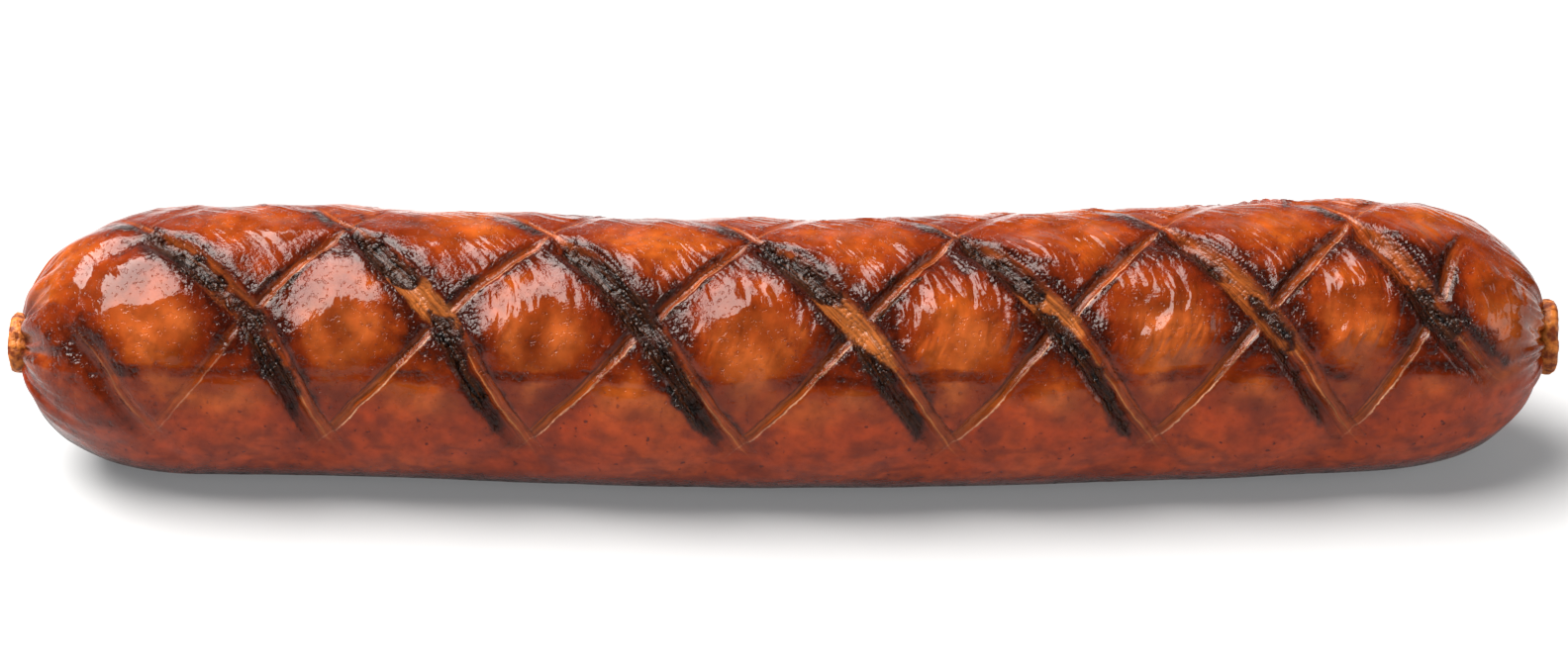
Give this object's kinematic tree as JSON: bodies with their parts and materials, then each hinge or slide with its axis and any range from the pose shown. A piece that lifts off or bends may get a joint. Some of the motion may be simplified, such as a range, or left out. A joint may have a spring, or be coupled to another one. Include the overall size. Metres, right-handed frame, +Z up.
{
  "type": "grilled sausage",
  "caption": "Plump grilled sausage, slightly bent, scored all over its upper side in a diamond pattern, with a small tied-off casing nub at each end.",
  "frame": {"origin": "middle of the sausage's bounding box, on the surface that it lies on", "axes": "+X along the sausage towards its right end as pictured, +Y away from the pictured front, +Z up"},
  "size_m": [0.168, 0.0332, 0.0292],
  "materials": {
    "grilled_casing": "glossy"
  },
  "bodies": {
    "root": {"sausage": "grilled_casing"}
  },
  "joints": []
}
